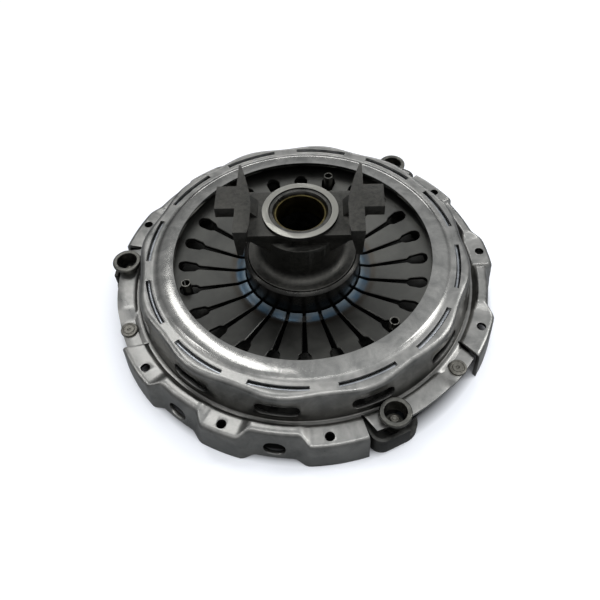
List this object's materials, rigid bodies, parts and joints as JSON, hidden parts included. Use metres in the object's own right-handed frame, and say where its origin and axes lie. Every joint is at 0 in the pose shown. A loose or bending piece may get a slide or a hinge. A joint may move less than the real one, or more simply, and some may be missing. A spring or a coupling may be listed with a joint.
{
  "type": "clutch pressure plate",
  "caption": "Pull-type truck clutch pressure plate: pressed wavy cover, slotted diaphragm spring, strap-driven cast plate, and the release bearing with its fork pads.",
  "frame": {"origin": "on the clutch axis, in the plane of the undersides of the bolt pads", "axes": "+Z along the clutch axis from the flywheel towards the gearbox; -Y towards the front of the picture"},
  "size_m": [0.4811, 0.4793, 0.1722],
  "materials": {
    "pressed_steel": "oily cold-pressed sheet steel",
    "bright_wire": "bright drawn wire",
    "spring_steel": "dark tempered spring steel",
    "leaf_steel": "blued strip",
    "rivet_steel": "upset rivet steel",
    "collar_steel": "turned, phosphated",
    "plate_iron": "cast, machined faces",
    "blackened_steel": "blackened, turned",
    "bearing_steel": "ground",
    "seal_rubber": "moulded",
    "housing_iron": "cast, top ring machined",
    "sleeve_steel": "turned",
    "bronze": "bronze bush",
    "cage_steel": "pressed cage"
  },
  "bodies": {
    "cover": {"cover_pressing": "pressed_steel", "fulcrum_ring": "bright_wire", "diaphragm_spring": "spring_steel", "leaf_pack_a": "leaf_steel", "leaf_pack_b": "leaf_steel", "leaf_pack_c": "leaf_steel", "strap_cover_rivets": "rivet_steel", "access_collars": "collar_steel"},
    "plate": {"pressure_plate": "plate_iron", "strap_lug_rivets": "rivet_steel", "lug_spacers": "collar_steel", "keyhole_tubes": "collar_steel"},
    "collar": {"bearing_collar": "blackened_steel", "loading_ring": "blackened_steel", "snap_ring": "spring_steel", "bearing_outer_ring": "bearing_steel", "bearing_shield": "seal_rubber"},
    "housing": {"release_housing": "housing_iron", "guide_sleeve": "sleeve_steel", "bronze_bushes": "bronze", "bearing_inner_ring": "bearing_steel", "inner_circlip": "spring_steel"},
    "cage": {"bearing_balls": "bearing_steel", "ball_cage": "cage_steel"}
  },
  "joints": [
    {"name": "release_travel", "type": "slide", "parent": "cover", "child": "collar", "axis": [0, 0, 1], "range_m": [0, 0.012], "deforming": ["diaphragm_spring"]},
    {"name": "plate_lift", "type": "slide", "parent": "cover", "child": "plate", "axis": [0, 0, 1], "range_m": [0, 0.0022], "deforming": ["leaf_pack_a", "leaf_pack_b", "leaf_pack_c"]},
    {"name": "housing_spin", "type": "hinge", "parent": "collar", "child": "housing", "pos_m": [0, 0, 0.029], "axis": [0, 0, 1], "continuous": true},
    {"name": "cage_spin", "type": "hinge", "parent": "collar", "child": "cage", "pos_m": [0, 0, 0.029], "axis": [0, 0, 1], "continuous": true}
  ],
  "couplings": [
    {"joint": "plate_lift", "follows": "release_travel", "ratio": 0.18333},
    {"joint": "cage_spin", "follows": "housing_spin", "ratio": 0.4434}
  ]
}
